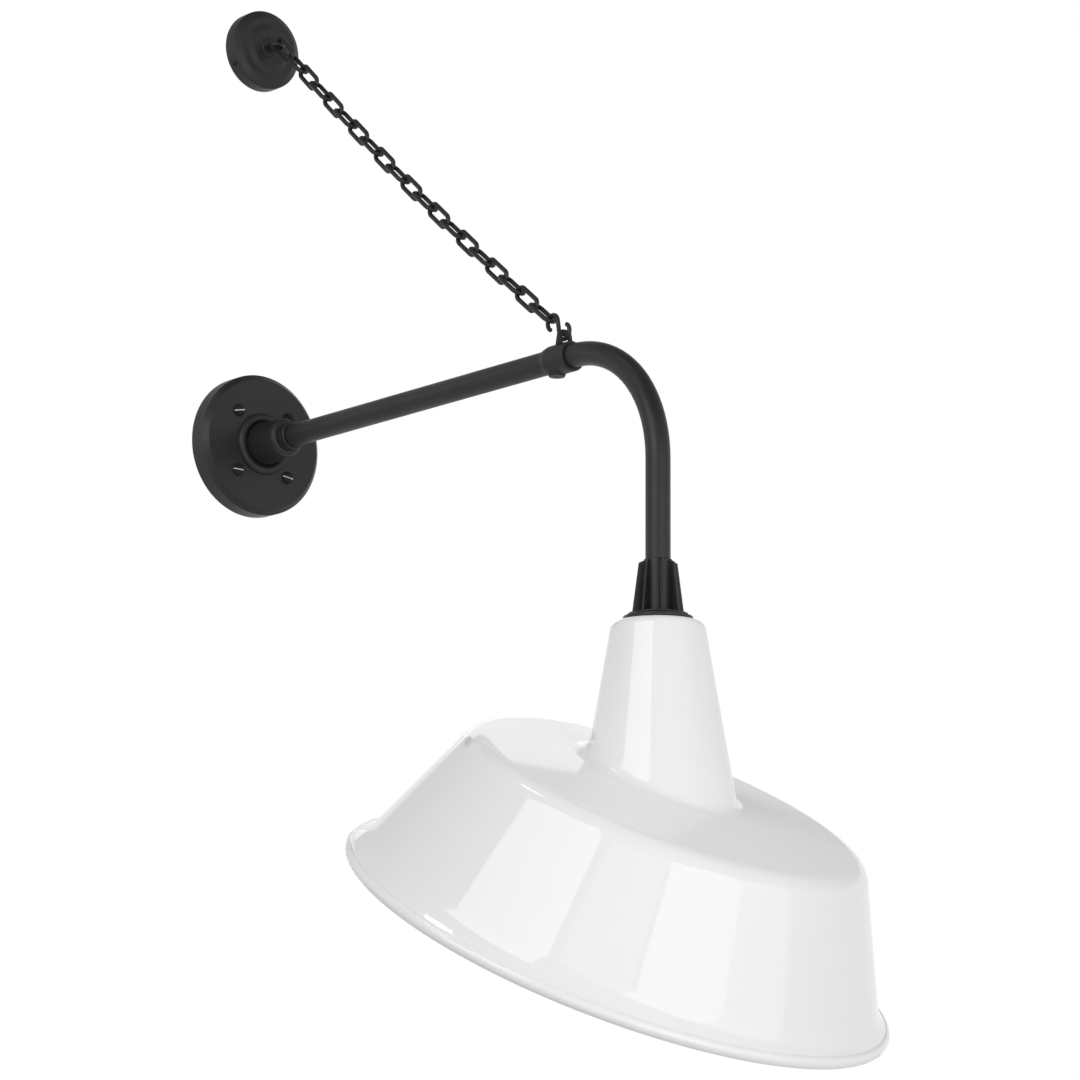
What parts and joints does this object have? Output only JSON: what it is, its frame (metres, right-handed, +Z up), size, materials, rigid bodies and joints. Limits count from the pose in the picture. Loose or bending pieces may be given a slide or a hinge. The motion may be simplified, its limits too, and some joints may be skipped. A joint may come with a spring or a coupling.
{
  "type": "barn light",
  "caption": "Gooseneck wall barn light: round wall plate, bent pipe arm with a chain stay to an upper rosette, finned fitter and a tilted flared bowl shade on a tall tapered neck.",
  "frame": {"origin": "centre of the lower wall plate's back face, on the wall plane and on the arm's axis", "axes": "+Z up, +Y into the wall, the arm runs out along -Y and the shade hangs below its end"},
  "size_m": [0.4797, 0.7733, 1.0658],
  "materials": {
    "black_coat": "satin",
    "white_enamel": "gloss",
    "zinc_steel": "satin",
    "green_steel": "satin",
    "black_rubber": "matte",
    "white_porcelain": "gloss",
    "brass": "satin"
  },
  "bodies": {
    "bracket": {"arm_pipe": "black_coat", "chain_clamp": "black_coat", "clamp_set_screw": "black_coat", "ground_screw": "green_steel", "pipe_collar": "black_coat", "rosette_bracket": "zinc_steel", "rosette_bracket_screw_1": "zinc_steel", "rosette_bracket_screw_2": "zinc_steel", "rosette_cover": "black_coat", "rosette_set_screw": "black_coat", "screw_eye": "black_coat", "wall_gasket": "black_rubber", "wall_plate": "black_coat", "wall_plate_screw_1": "black_coat", "wall_plate_screw_2": "black_coat", "wall_plate_screw_3": "black_coat", "wall_plate_screw_4": "black_coat"},
    "chain": {"chain_link_01": "black_coat", "chain_link_02": "black_coat", "chain_link_03": "black_coat", "chain_link_04": "black_coat", "chain_link_05": "black_coat", "chain_link_06": "black_coat", "chain_link_07": "black_coat", "chain_link_08": "black_coat", "chain_link_09": "black_coat", "chain_link_10": "black_coat", "chain_link_11": "black_coat", "chain_link_12": "black_coat", "chain_link_13": "black_coat", "chain_link_14": "black_coat", "chain_link_15": "black_coat", "chain_link_16": "black_coat", "chain_link_17": "black_coat", "chain_link_18": "black_coat", "chain_link_19": "black_coat", "chain_link_20": "black_coat", "s_hook": "black_coat"},
    "shade_head": {"fitter_hub": "black_coat", "fitter_set_screw": "zinc_steel", "shade_gasket": "black_rubber", "shade": "white_enamel", "neck_washer": "zinc_steel", "neck_locknut": "zinc_steel", "lamp_nipple": "zinc_steel", "lampholder_cap": "white_porcelain", "lampholder_body": "white_porcelain", "lampholder_shell": "brass", "lampholder_terminal_1": "brass", "lampholder_terminal_2": "brass"},
    "contact": {"centre_contact": "brass"}
  },
  "joints": [
    {"name": "shade_aim", "type": "hinge", "parent": "bracket", "child": "shade_head", "pos_m": [0, -0.5937, -0.22], "axis": [0, 0, 1], "range_deg": [-180, 180]},
    {"name": "chain_sway", "type": "hinge", "parent": "bracket", "child": "chain", "pos_m": [0, -0.036, 0.3974], "axis": [0, -0.7528, -0.6582], "range_deg": [-12, 12]},
    {"name": "contact_press", "type": "slide", "parent": "shade_head", "child": "contact", "axis": [0, 0, 1], "range_m": [0, 0.0015], "stiffness_N_per_m": 1500, "springref_m": -0.001}
  ]
}
